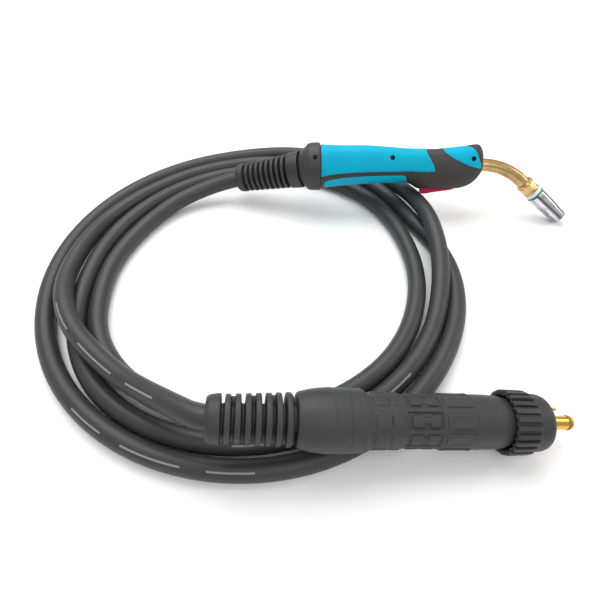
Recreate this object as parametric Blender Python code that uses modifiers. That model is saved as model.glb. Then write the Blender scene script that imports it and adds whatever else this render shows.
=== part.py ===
"""MIG welding torch: swan-neck gun, coaxial cable in a loose coil, and central plug.

Standalone Blender script, metres, +Z up. The floor is Z = 0. The origin is at the middle of the
gun's footprint. The gun leans back on its cable with its nozzle tip on the floor; the cable lies in
a loose coil of nearly three and a half turns and ends in the plug, whose nut rests on the floor.
"""

import math

import bmesh
import bpy
from mathutils import Matrix, Vector

MM = 0.001
GAP = 0.3

# Where things stand, in millimetres and degrees
BALL = Vector((-132.2, 7.5, 53.25))
HANDLE_YAW, HANDLE_TILT, HANDLE_LEAN = -0.8, 1.2, 30.0
BOOT_YAW, BOOT_PITCH = 8.7, 15.0
PLUG_REAR = Vector((-219.3, -310.3, 56.3))
PLUG_YAW, PLUG_TILT = 3.0, 7.5
COIL_CENTRE = Vector((-199.3, -118.3, 0.0))

# Cable
CABLE_RADIUS = 9.0
CABLE_STEP = 15

# Ball joint between cable and handle
BALL_RADIUS = 15.5
STEM_RADIUS = 6.5
STEM_END = 34.0
LINER_WALL = 2.0
OPENING_RADIUS = 13.2
COLLAR_RADIUS = 26.7
COLLAR_FRONT = 1.4
DOME_RADIUS = 27.4

# Handle
HANDLE_START = 1.7
HANDLE_END = 185.8
WALL = 2.5
PANEL_DEPTH = 1.6
PANEL_THICKNESS = 0.6
SECTION_POWER = 2.5

# Neck and nozzle, measured along the neck's centre line from the handle
NECK_RADIUS = 7.0
NECK_BORE = 3.0
NECK_BEND_RADIUS = 75.0
NECK_ANGLE = 40.0
NECK_INSIDE = 34.0
NUT_START, NUT_END = 57.0, 72.0
RING_END = 76.5
SEAL_END = 78.5
NOZZLE_END = 120.0
NOZZLE_BASE_RADIUS = 9.1
NOZZLE_TIP_RADIUS = 7.9

# Plug, measured along its axis from the rear end of its boot
PLUG_BOOT_LENGTH = 62.5
PLUG_CABLE_END = 20.0
FLARE_END = 111.5
GRIP_END = 203.0
GRIP_RADIUS = 20.2
ADAPTOR_START, ADAPTOR_END = 219.5, 253.2
ADAPTOR_RADIUS = 24.4
NIPPLE_END = 278.0


def clear_scene():
    for obj in list(bpy.data.objects):
        bpy.data.objects.remove(obj, do_unlink=True)


def new_collection(name, helper=False):
    collection = bpy.data.collections.new(name)
    bpy.context.scene.collection.children.link(collection)
    collection.hide_render = helper
    return collection


def new_material(name, colour, roughness, metallic=0.0):
    material = bpy.data.materials.new(name)
    material.use_nodes = True
    shader = material.node_tree.nodes["Principled BSDF"]
    shader.inputs["Base Color"].default_value = (*colour, 1.0)
    shader.inputs["Roughness"].default_value = roughness
    shader.inputs["Metallic"].default_value = metallic
    material.diffuse_color = (*colour, 1.0)
    return material


def scaled(matrix):
    """A frame given in millimetres, as Blender's metres."""
    return Matrix.Translation(matrix.translation * MM) @ matrix.to_3x3().to_4x4()


def place(name, mesh, matrix, material, collection=None):
    """Link a mesh whose coordinates are in metres, at a frame given in millimetres."""
    obj = bpy.data.objects.new(name, mesh)
    (collection or TORCH).objects.link(obj)
    obj.matrix_world = scaled(matrix)
    if material:
        mesh.materials.append(material)
    mesh.shade_smooth()
    mesh.set_sharp_from_angle(angle=math.radians(35))
    return obj


def mesh_from(points, faces):
    """A mesh in metres from points in millimetres, with its normals facing out."""
    mesh = bpy.data.meshes.new("shape")
    mesh.from_pydata([Vector(p) * MM for p in points], [], faces)
    shape = bmesh.new()
    shape.from_mesh(mesh)
    bmesh.ops.recalc_face_normals(shape, faces=shape.faces)
    shape.to_mesh(mesh)
    shape.free()
    return mesh


def turned(name, outer, matrix, material, inner=None, steps=24, collection=None):
    """A turned piece about local Z. Profiles are (along, radius) pairs from the rear to the front."""
    profile = list(reversed(outer)) + (inner or [])
    if inner is None:
        profile = [(profile[0][0], 0.0)] + profile + [(profile[-1][0], 0.0)]
    edges = [(i, i + 1) for i in range(len(profile) - 1)]
    if inner:
        edges.append((len(profile) - 1, 0))
    mesh = bpy.data.meshes.new(name)
    mesh.from_pydata([(r * MM, 0, z * MM) for z, r in profile], edges, [])
    obj = bpy.data.objects.new(name, mesh)
    (collection or TORCH).objects.link(obj)
    obj.matrix_world = scaled(matrix)
    if material:
        mesh.materials.append(material)
    screw = obj.modifiers.new("turn", "SCREW")
    screw.steps = steps
    screw.render_steps = steps
    screw.use_merge_vertices = True
    screw.merge_threshold = 0.00001
    return obj


def box(name, low, high, matrix, material, collection=None):
    """A box between two corners in its frame, in millimetres."""
    shape = bmesh.new()
    bmesh.ops.create_cube(shape, size=1.0)
    low, high = Vector(low), Vector(high)
    for vertex in shape.verts:
        part = Vector(a * b for a, b in zip(vertex.co, high - low))
        vertex.co = (part + (low + high) / 2) * MM
    mesh = bpy.data.meshes.new(name)
    shape.to_mesh(mesh)
    shape.free()
    return place(name, mesh, matrix, material, collection)


def rod(name, start, end, radius, matrix, material, sides=16, collection=None):
    """A plain cylinder between two points of its frame, in millimetres."""
    start, end = Vector(start), Vector(end)
    shape = bmesh.new()
    length = (end - start).length
    bmesh.ops.create_cone(
        shape, cap_ends=True, segments=sides, radius1=radius * MM, radius2=radius * MM, depth=length * MM
    )
    turn = (end - start).to_track_quat("Z", "Y").to_matrix().to_4x4()
    shape.transform(Matrix.Translation((start + end) / 2 * MM) @ turn)
    mesh = bpy.data.meshes.new(name)
    shape.to_mesh(mesh)
    shape.free()
    return place(name, mesh, matrix, material, collection)


def add_boolean(obj, cutter, operation="DIFFERENCE"):
    boolean = obj.modifiers.new(operation.lower(), "BOOLEAN")
    boolean.operation = operation
    boolean.solver = "EXACT"
    boolean.object = cutter
    cutter.display_type = "WIRE"
    cutter.hide_render = True


def smooth(stations, x):
    """Catmull-Rom interpolation of rows (x, value, ...) at x. Returns the values."""
    last = len(stations) - 1
    i = max(k for k in range(last) if stations[k][0] <= x or k == 0)
    before = stations[max(i - 1, 0)]
    start = stations[i]
    end = stations[i + 1]
    after = stations[min(i + 2, last)]
    t = min(max((x - start[0]) / (end[0] - start[0]), 0.0), 1.0)
    values = []
    for k in range(1, len(start)):
        width = end[0] - start[0]
        slope_in = (end[k] - before[k]) / (end[0] - before[0]) * width
        slope_out = (after[k] - start[k]) / (after[0] - start[0]) * width
        a = 2 * t**3 - 3 * t**2 + 1
        b = t**3 - 2 * t**2 + t
        c = t**3 - t**2
        values.append(a * start[k] + b * slope_in + (1 - a) * end[k] + c * slope_out)
    return values


# Frames ------------------------------------------------------------------


def turn(axis, degrees):
    return Matrix.Rotation(math.radians(degrees), 4, axis)


def handle_frame():
    """X forward along the handle, Z to its top, origin at the ball's centre."""
    return Matrix.Translation(BALL) @ turn("Z", HANDLE_YAW) @ turn("Y", -HANDLE_TILT) @ turn("X", -HANDLE_LEAN)


def boot_frame():
    """Local Z runs back along the gun's boot, from the ball's centre towards the cable."""
    return Matrix.Translation(BALL) @ turn("Z", -BOOT_YAW) @ turn("Y", -90 - BOOT_PITCH)


def plug_frame():
    """Local Z runs forward along the plug, from the rear end of its boot."""
    return Matrix.Translation(PLUG_REAR) @ turn("Z", PLUG_YAW) @ turn("Y", 90 + PLUG_TILT)


def neck_frame(distance):
    """A frame on the neck's centre line in the handle's frame, with local Z along the neck."""
    arc = math.radians(NECK_ANGLE) * NECK_BEND_RADIUS
    bent = min(max(distance, 0.0), arc)
    angle = bent / NECK_BEND_RADIUS
    point = Vector((HANDLE_END, 0, 0))
    point += Vector((math.sin(angle), 0, math.cos(angle) - 1)) * NECK_BEND_RADIUS
    point += Vector((math.cos(angle), 0, -math.sin(angle))) * (distance - bent)
    return Matrix.Translation(point) @ turn("Y", 90 + math.degrees(angle))


# Handle ------------------------------------------------------------------

# Distance from the ball, then the section's height above and below the axis and its half width
HANDLE_SECTIONS = [
    (1.7, 24.6, 24.4, 22.5),
    (12.0, 24.0, 23.0, 21.5),
    (30.0, 23.3, 21.4, 19.5),
    (55.0, 22.9, 20.0, 18.0),
    (80.0, 21.0, 19.3, 17.5),
    (100.0, 19.2, 19.2, 17.5),
    (108.0, 18.9, 22.0, 17.8),
    (115.0, 18.7, 26.0, 18.0),
    (135.0, 18.6, 27.2, 18.2),
    (157.0, 20.2, 26.8, 18.2),
    (168.0, 21.6, 24.8, 17.8),
    (176.0, 22.8, 20.8, 16.8),
    (181.0, 22.4, 16.0, 15.0),
    (184.5, 18.0, 11.0, 12.0),
    (185.8, 12.5, 9.2, 10.0),
]


def section_point(x, angle, inset, side, hole=0.0):
    """A point of the handle's section, at an angle from -90 at the bottom to 90 at the top."""
    top, bottom, half = smooth(HANDLE_SECTIONS, x)
    rise = math.sin(math.radians(angle))
    reach = math.cos(math.radians(angle))
    height = max((top if rise > 0 else bottom) - inset, hole)
    width = max(half - inset, hole)
    power = 2 / SECTION_POWER if height > hole or width > hole else 1.0
    z = math.copysign(height * abs(rise) ** power, rise)
    y = side * (width * abs(reach) ** power + GAP / 2)
    return Vector((x, y, z))


def handle_shell(name, side):
    """Half of the handle: outer and inner skins joined along the parting line and at both ends."""
    outer_x = [1.7, 10, 20, 32, 45, 60, 75, 90, 100, 106, 111, 116, 126, 140, 154, 163, 170, 176, 180, 183, 185, 185.8]
    inner_x = outer_x[:-4] + [181.6, 182.0, 184.0, 185.8]
    angles = [-90 + 180 * i / 14 for i in range(15)]
    points = []
    for x in outer_x:
        points += [section_point(x, a, PANEL_DEPTH, side) for a in angles]
    hole = NECK_RADIUS + GAP
    for i, x in enumerate(inner_x):
        inset = PANEL_DEPTH + WALL if i < len(inner_x) - 3 else 100.0
        points += [section_point(x, a, inset, side, hole) for a in angles]
    rows, columns = len(outer_x), len(angles)
    inner = rows * columns
    faces = []
    for i in range(rows - 1):
        for j in range(columns - 1):
            a, b = i * columns + j, (i + 1) * columns + j
            faces.append((a, b, b + 1, a + 1))
            faces.append((inner + a, inner + a + 1, inner + b + 1, inner + b))
        for j in (0, columns - 1):
            a, b = i * columns + j, (i + 1) * columns + j
            faces.append((a, b, inner + b, inner + a))
    for i in (0, rows - 1):
        for j in range(columns - 1):
            a = i * columns + j
            faces.append((a, a + 1, inner + a + 1, inner + a))
    shell = place(name, mesh_from(points, faces), handle_frame(), CHARCOAL)
    add_boolean(shell, TRIGGER_SLOT)
    add_boolean(shell, PIN_HOLE)
    for boss in BOSSES[side]:
        add_boolean(shell, boss, "UNION")
    for pilot, head in SCREW_HOLES:
        add_boolean(shell, pilot)
        if side < 0:
            add_boolean(shell, head)
    return shell


def grip_panel(name, side, starts, ends, low, high, columns=14, rows=6):
    """A thin coloured panel let into the shell.

    low and high give the panel's lower and upper edge as (x, angle) rows. starts and ends give its
    rear and front edge as x values, spread evenly from the lower to the upper edge.
    """
    def across(values, share):
        spread = [(i / (len(values) - 1), value) for i, value in enumerate(values)]
        return smooth(spread, share)[0]

    points = []
    for inset in (0.0, PANEL_THICKNESS):
        for i in range(columns + 1):
            for j in range(rows + 1):
                share = j / rows
                rear, front = across(starts, share), across(ends, share)
                x = rear + (front - rear) * i / columns
                bottom_angle, top_angle = smooth(low, x)[0], smooth(high, x)[0]
                angle = min(bottom_angle + (top_angle - bottom_angle) * share, 90)
                points.append(section_point(x, angle, inset, side))
    line = rows + 1
    inner = (columns + 1) * line
    faces = []
    for i in range(columns):
        for j in range(rows):
            a, b = i * line + j, (i + 1) * line + j
            faces.append((a, b, b + 1, a + 1))
            faces.append((inner + a, inner + a + 1, inner + b + 1, inner + b))
        for j in (0, rows):
            a, b = i * line + j, (i + 1) * line + j
            faces.append((a, b, inner + b, inner + a))
    for i in (0, columns):
        for j in range(rows):
            a = i * line + j
            faces.append((a, a + 1, inner + a + 1, inner + a))
    return place(name, mesh_from(points, faces), handle_frame(), CYAN)


# Panel edges: (x, angle) rows, with angles counted as in section_point
UPPER_LOW = [(1.7, -22), (12.0, -17.5), (30.0, -15), (60.0, -13.5), (100.0, -13.5), (108.0, -11.5), (132.0, -9)]
UPPER_HIGH = [(1.7, 90), (190.0, 90)]
UPPER_ENDS = [131.0, 126.0, 122.5, 121.0, 121.5, 122.0]
LOWER_LOW = [(1.7, -90), (190.0, -90)]
LOWER_HIGH = [(5.0, -41), (12.0, -34.5), (30.0, -29.5), (60.0, -27.5), (93.0, -28), (100.0, -32)]
FRONT_LOW = [(140.0, 52), (144.0, 35), (151.0, 17), (163.0, 2), (174.0, -3), (180.0, -8)]
FRONT_HIGH = [(140.0, 90), (160.0, 90), (166.0, 78), (170.0, 62), (174.0, 42), (177.0, 24), (180.0, 4)]


def make_panels():
    for side, word in ((-1, "right"), (1, "left")):
        upper = grip_panel(f"grip_panel_upper_{word}", side, [2.0, 2.0], UPPER_ENDS, UPPER_LOW, UPPER_HIGH)
        grip_panel(f"grip_panel_lower_{word}", side, [9.0, 5.5, 6.0], [101.0, 101.0, 98.0], LOWER_LOW, LOWER_HIGH)
        front = grip_panel(f"grip_panel_front_{word}", side, [140.0, 140.0], [180.0, 180.0], FRONT_LOW, FRONT_HIGH)
        if side < 0:
            add_boolean(upper, SCREW_HOLES[0][1])
            add_boolean(front, SCREW_HOLES[1][1])


# Screws in the handle's right side: distance along the handle, height above its axis, and tail end
# across it. The rear one holds the two halves together, the front one locks the neck.
SCREWS = {"handle_screw": (82.0, 9.4, 9.4), "neck_lock_screw": (172.0, 7.2, -8.8)}
HEAD_SEAT = -10.5
BOSS_REACH = 13.4


def make_boss_cutters():
    """Each half's bosses, then the pilot holes and the heads' counterbores."""
    bosses = {-1: [], 1: []}
    holes = []
    frame = handle_frame()
    for name, (x, z, tail) in SCREWS.items():
        near = min(tail + 0.5, -GAP / 2)
        right = rod(f"{name}_boss_right", (x, -BOSS_REACH, z), (x, near, z), 4.0, frame, None, 16, CUTTERS)
        bosses[-1].append(right)
        if tail > 0:
            left = rod(f"{name}_boss_left", (x, GAP / 2, z), (x, BOSS_REACH, z), 4.0, frame, None, 16, CUTTERS)
            bosses[1].append(left)
        pilot = rod(f"{name}_pilot", (x, -40, z), (x, tail + GAP + 0.4, z), 1.7, frame, None, 12, CUTTERS)
        head = rod(f"{name}_counterbore", (x, -40, z), (x, HEAD_SEAT, z), 2.7, frame, None, 16, CUTTERS)
        holes.append((pilot, head))
    return bosses, holes


def make_screws():
    for name, (x, z, tail) in SCREWS.items():
        seat = -HEAD_SEAT + GAP
        turned(
            name,
            [(-tail, 1.4), (seat, 1.4), (seat, 2.4), (seat + 2.0, 2.4), (seat + 2.5, 2.0)],
            handle_frame() @ Matrix.Translation((x, 0, z)) @ turn("X", 90),
            STEEL,
            steps=12,
        )
    collar_screw = handle_frame() @ Matrix.Translation((-4.6, 0, 11.0)) @ turn("X", 90)
    turned("collar_screw", [(18.9, 1.9), (20.6, 1.9), (21.2, 1.6)], collar_screw, STEEL, steps=12)


def ball_point(radius, degrees):
    """A point (along, radius) on a sphere about the ball's centre, counted from the rear."""
    return (-radius * math.cos(math.radians(degrees)), radius * math.sin(math.radians(degrees)))


def make_collar():
    """The handle's domed rear ring and its plastic socket. Both open towards the gun's boot."""
    axis = handle_frame() @ turn("Y", 90)
    opening = rod("swivel_opening", (0, 0, 4), (0, 0, 45), OPENING_RADIUS, boot_frame(), None, 32, CUTTERS)
    outer = [ball_point(DOME_RADIUS, d) for d in (10, 18, 26, 34, 42, 51)]
    outer += [(-14.6, 24.0), (-12.0, 25.7), (-9.0, COLLAR_RADIUS), (COLLAR_FRONT, COLLAR_RADIUS)]
    socket = BALL_RADIUS + GAP + LINER_WALL + GAP
    inner = [ball_point(socket, d) for d in (10, 25, 40, 55, 70, 85)] + [(COLLAR_FRONT, socket + 0.1)]
    collar = turned("rear_collar", outer, axis, CHARCOAL, inner, steps=32)
    hole = rod("collar_hole", (-4.6, -40, 11), (-4.6, -18.6, 11), 2.3, handle_frame(), None, 12, CUTTERS)
    add_boolean(collar, opening)
    add_boolean(collar, hole)
    low, high = BALL_RADIUS + GAP, BALL_RADIUS + GAP + LINER_WALL
    bands = (12, 28, 44, 60, 76, 92, 110, 128)
    liner_outer = [ball_point(high, d) for d in bands]
    liner_inner = [ball_point(low, d) for d in bands]
    liner = turned("ball_socket_liner", liner_outer, axis, NYLON, liner_inner, steps=32)
    add_boolean(liner, opening)


# Trigger -----------------------------------------------------------------

TRIGGER_PIVOT = (155.0, -22.0)
TRIGGER_START, TRIGGER_END = 119.0, 159.0
TRIGGER_HALF_WIDTH = 7.0


def make_trigger_slot():
    low = (TRIGGER_START - 1.2, -TRIGGER_HALF_WIDTH - 0.6, -40)
    high = (TRIGGER_END + 1.0, TRIGGER_HALF_WIDTH + 0.6, -20)
    return box("trigger_slot", low, high, handle_frame(), None, CUTTERS)


def make_pin_hole():
    x, z = TRIGGER_PIVOT
    return rod("trigger_pin_hole", (x, -9.9, z), (x, 9.9, z), 1.5, handle_frame(), None, 12, CUTTERS)


def make_trigger():
    """A wedge that hangs below the handle at its rear and turns about a pin at its front."""
    outline = [
        (TRIGGER_START, -20.5),
        (TRIGGER_START, -30.8),
        (TRIGGER_START + 3, -31.4),
        (TRIGGER_START + 10, -30.6),
        (TRIGGER_START + 22, -28.9),
        (TRIGGER_END - 6, -27.2),
        (TRIGGER_END, -25.0),
        (TRIGGER_END, -20.0),
        (TRIGGER_END - 8, -18.5),
        (TRIGGER_START + 12, -18.5),
    ]
    count = len(outline)
    pivot_x, pivot_z = TRIGGER_PIVOT
    points = []
    for y in (-TRIGGER_HALF_WIDTH, TRIGGER_HALF_WIDTH):
        points += [(x - pivot_x, y, z - pivot_z) for x, z in outline]
    faces = [tuple(range(count)), tuple(range(2 * count - 1, count - 1, -1))]
    for i in range(count):
        following = (i + 1) % count
        faces.append((i, following, count + following, count + i))
    pivot = handle_frame() @ Matrix.Translation((pivot_x, 0, pivot_z))
    trigger = place("trigger", mesh_from(points, faces), pivot, CRIMSON)
    add_boolean(trigger, PIN_HOLE)
    rod("trigger_pin", (0, -9.5, 0), (0, 9.5, 0), 1.2, pivot, STEEL, 12)
    switch = box("micro_switch", (124, -3.2, -15.9), (144, 3.2, -9.4), handle_frame(), NYLON)
    add_boolean(switch, box("plunger_bore", (131.1, -1.9, -20), (135.9, 1.9, -10.6), handle_frame(), None, CUTTERS))
    box("switch_plunger", (131.5, -1.5, -18.1), (135.5, 1.5, -13.5), handle_frame(), CRIMSON)


# Neck and nozzle ---------------------------------------------------------


def swept_tube(name, frames, outer, inner, material, sides=16):
    """A bent tube with a bore, from a ring of outer and of inner points at each frame."""
    points = []
    for radius in (outer, inner):
        for frame in frames:
            for i in range(sides):
                angle = 2 * math.pi * i / sides
                points.append(frame @ Vector((radius * math.cos(angle), radius * math.sin(angle), 0)))
    rings = len(frames)
    bore = rings * sides
    faces = []
    for i in range(sides):
        after = (i + 1) % sides
        for k in range(rings - 1):
            a, b = k * sides, (k + 1) * sides
            faces.append((a + i, a + after, b + after, b + i))
            faces.append((bore + a + i, bore + b + i, bore + b + after, bore + a + after))
        for k in (0, rings - 1):
            a = k * sides
            faces.append((a + i, a + after, bore + a + after, bore + a + i))
    return place(name, mesh_from(points, faces), handle_frame(), material)


def along_neck(distance):
    return handle_frame() @ neck_frame(distance)


def make_neck():
    arc = math.radians(NECK_ANGLE) * NECK_BEND_RADIUS
    bend = [neck_frame(arc * i / 8) for i in range(9)]
    frames = [neck_frame(-NECK_INSIDE)] + bend + [neck_frame(NUT_END)]
    swept_tube("swan_neck", frames, NECK_RADIUS, NECK_BORE, BRASS)
    liner = [neck_frame(-NECK_INSIDE - 4)] + bend + [neck_frame(NUT_END - 2)]
    swept_tube("wire_liner", liner, NECK_BORE - GAP, 1.2, NYLON, sides=10)
    start = along_neck(0)
    nut = NUT_END - NUT_START
    turned(
        "neck_nut",
        [(0, 8.6), (1.0, 9.5), (nut - 1.0, 9.5), (nut - GAP, 9.0)],
        along_neck(NUT_START),
        BRASS,
        [(0, NECK_RADIUS + GAP), (nut - GAP, NECK_RADIUS + GAP)],
        steps=6 * 3,
    )
    turned(
        "insulator_ring",
        [(0, 8.6), (0.8, 9.2), (RING_END - NUT_END - GAP, 9.2)],
        along_neck(NUT_END),
        WHITE,
        [(0, 7.3), (RING_END - NUT_END - GAP, 7.3)],
    )
    turned(
        "insulator_seal",
        [(0, 9.2), (0.5, 9.7), (SEAL_END - RING_END - GAP, 9.5)],
        along_neck(RING_END),
        GREEN,
        [(0, 7.3), (SEAL_END - RING_END - GAP, 7.3)],
    )
    turned(
        "neck_clamp_block",
        [(-NECK_INSIDE - 30, 8.2), (-NECK_INSIDE - 29, 9.0), (-NECK_INSIDE + 13, 9.0), (-NECK_INSIDE + 14, 8.2)],
        start,
        BRASS,
        [
            (-NECK_INSIDE - 30, 5.0),
            (-NECK_INSIDE - GAP, 5.0),
            (-NECK_INSIDE - GAP, NECK_RADIUS + GAP),
            (-NECK_INSIDE + 14, NECK_RADIUS + GAP),
        ],
    )
    lead_end = HANDLE_END - NECK_INSIDE - 30 - GAP
    turned(
        "handle_power_lead",
        [(24.0, 5.5), (lead_end, 5.5)],
        handle_frame() @ turn("Y", 90),
        COPPER,
        [(24.0, 3.0), (lead_end, 3.0)],
        steps=12,
    )


def make_nozzle():
    base = along_neck(SEAL_END)
    length = NOZZLE_END - SEAL_END
    turned(
        "gas_nozzle",
        [
            (0, NOZZLE_BASE_RADIUS - 0.3),
            (0.6, NOZZLE_BASE_RADIUS),
            (length * 0.4, NOZZLE_BASE_RADIUS),
            (length * 0.86, NOZZLE_TIP_RADIUS + 0.1),
            (length - 0.5, NOZZLE_TIP_RADIUS),
            (length, NOZZLE_TIP_RADIUS - 0.4),
        ],
        base,
        CHROME,
        [(0, 7.3), (length * 0.4, 7.3), (length * 0.86, 6.5), (length, 6.5)],
        steps=32,
    )
    turned(
        "tip_holder",
        [(-6.0, 6.0), (1.0, 6.0), (1.0, 6.9), (6.0, 6.9), (6.0, 5.2), (17.0, 5.2), (18.0, 4.6)],
        base,
        BRASS,
        [(-6.0, 2.9), (18.0, 2.9)],
        steps=16,
    )
    turned(
        "contact_tip",
        [(18.3, 4.0), (30.0, 4.0), (length - 2.5, 2.4)],
        base,
        COPPER,
        [(18.3, 0.9), (length - 2.5, 0.9)],
        steps=16,
    )


# Cable and its boots -----------------------------------------------------

# Angle round the coil's centre counted on from the gun, radius, and height of the cable's axis
CABLE_ROUTE = [
    (102.5, 144.0, 26.3),
    (112.0, 147.5, 21.5),
    (122.0, 151.0, 16.5),
    (134.0, 153.0, 12.5),
    (146.0, 152.0, 10.0),
    (160.0, 152.0, 9.1),
    (178.0, 155.2, 9.1),
    (194.0, 158.8, 9.1),
    (208.0, 164.8, 9.1),
    (224.0, 168.0, 9.1),
    (250.0, 169.0, 9.1),
    (285.0, 169.0, 9.1),
    (320.0, 168.0, 9.1),
    (345.0, 166.0, 9.1),
    (372.0, 168.0, 9.1),
    (386.0, 172.5, 9.1),
    (411.0, 180.5, 9.1),
    (438.0, 183.5, 9.1),
    (464.0, 182.0, 9.1),
    (480.0, 179.5, 9.1),
    (510.0, 175.0, 9.1),
    (538.0, 174.4, 9.1),
    (552.0, 177.6, 9.1),
    (568.0, 184.0, 9.1),
    (590.0, 191.0, 9.1),
    (618.0, 191.5, 9.1),
    (645.0, 189.0, 9.1),
    (672.0, 187.0, 9.1),
    (700.0, 187.0, 11.5),
    (712.0, 188.0, 18.0),
    (722.0, 190.5, 24.0),
    (732.0, 194.5, 28.6),
    (740.0, 200.5, 28.4),
    (748.0, 207.0, 24.8),
    (756.0, 214.6, 19.5),
    (766.0, 223.5, 12.5),
    (780.0, 230.0, 9.5),
    (800.0, 229.5, 9.1),
    (820.0, 221.5, 9.1),
    (840.0, 218.5, 9.1),
    (866.0, 216.0, 9.1),
    (895.0, 212.5, 9.1),
    (920.0, 210.0, 9.1),
    (945.0, 210.0, 9.1),
    (975.0, 211.0, 9.1),
    (1006.0, 211.0, 9.1),
    (1040.0, 206.0, 9.1),
    (1075.0, 204.5, 9.1),
    (1090.0, 200.5, 9.1),
    (1104.0, 194.2, 9.1),
    (1114.0, 197.2, 9.1),
    (1128.0, 204.0, 9.1),
    (1150.0, 205.5, 9.1),
    (1180.0, 202.0, 9.1),
    (1212.0, 198.0, 9.1),
    (1236.0, 196.0, 12.0),
    (1254.0, 191.0, 18.5),
    (1268.0, 189.5, 23.0),
    (1278.0, 186.5, 27.6),
    (1290.0, 182.0, 27.8),
    (1302.0, 176.0, 27.8),
    (1316.0, 174.5, 31.0),
    (1326.0, 177.5, 39.5),
    (1336.0, 185.0, 50.5),
    (1343.3, 191.5, 56.0),
]


def route_point(angle):
    radius, height = smooth(CABLE_ROUTE, angle)
    turned_by = math.radians(angle)
    return COIL_CENTRE + Vector((radius * math.cos(turned_by), radius * math.sin(turned_by), height))


def cable_points():
    """The cable's axis: straight through the gun's boot, round the coil, and into the plug's boot."""
    boot, plug = boot_frame(), plug_frame()
    points = [boot @ Vector((0, 0, along)) for along in (STEM_END + GAP, 104.0)]
    points += [route_point(angle) for angle in range(120, 1336, CABLE_STEP)]
    points += [plug @ Vector((0, 0, along)) for along in (-9.0, PLUG_CABLE_END)]
    return points


def make_cable():
    points = cable_points()
    curve = bpy.data.curves.new("cable", "CURVE")
    curve.dimensions = "3D"
    curve.bevel_depth = CABLE_RADIUS * MM
    curve.bevel_resolution = 2
    curve.use_fill_caps = True
    spline = curve.splines.new("POLY")
    spline.points.add(len(points) - 1)
    for target, point in zip(spline.points, points):
        target.co = (*(point * MM), 1.0)
    curve.materials.append(RUBBER)
    cable = bpy.data.objects.new("cable", curve)
    TORCH.objects.link(cable)


def ribbed_profile(start, end, first_radius, last_radius, ribs, core, rib_share=0.58):
    """(along, radius) pairs of evenly spaced ribs whose height changes evenly along the boot."""
    pitch = (end - start) / ribs
    profile = []
    for i in range(ribs):
        rear = start + pitch * i
        front = rear + pitch * rib_share
        radius = first_radius + (last_radius - first_radius) * i / (ribs - 1)
        profile += [(rear, core), (rear, radius), (front, radius), (front, core)]
    return profile


def make_torch_boot():
    axis = boot_frame()
    clearance = DOME_RADIUS + 1.9
    rim = [(clearance * math.cos(math.radians(d)), clearance * math.sin(math.radians(d))) for d in (44, 30, 19)]
    outer = [(rim[0][0], 20.4), (34.5, 19.8), (35.5, 12.0)]
    outer += ribbed_profile(36.5, 92.0, 19.0, 16.2, 8, 12.0)
    outer += [(92.0, 12.0), (92.0, 16.2), (99.5, 15.6), (101.0, 14.0)]
    bore = CABLE_RADIUS + GAP
    inner = [rim[0], rim[1], (rim[2][0], bore), (101.0, bore)]
    turned("torch_boot", outer, axis, RUBBER, inner, steps=20)
    outline = [ball_point(BALL_RADIUS, d) for d in (10, 30, 50, 70, 90, 110, 130, 155)]
    outline += [(STEM_END, STEM_RADIUS)]
    turned("swivel_ball", outline, axis, NYLON, [(-14.8, 2.6), (STEM_END, 2.6)], steps=24)


def make_plug_boot():
    outer = [(0, 15.4), (1.5, 16.4), (8.0, 17.4), (9.0, 17.2), (9.0, 11.5)]
    outer += ribbed_profile(11.5, PLUG_BOOT_LENGTH - 1.0, 16.9, 19.0, 7, 11.5, 0.62)
    outer += [(PLUG_BOOT_LENGTH - GAP, 11.5)]
    bore = CABLE_RADIUS + GAP
    inner = [(0, bore), (PLUG_BOOT_LENGTH - GAP, bore)]
    turned("plug_boot", outer, plug_frame(), RUBBER, inner, steps=20)
    start, end = PLUG_CABLE_END + GAP, FLARE_END - 12
    turned("cable_crimp", [(start, 6.7), (end, 6.7)], plug_frame(), COPPER, [(start, 3.0), (end, 3.0)], steps=12)


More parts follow.
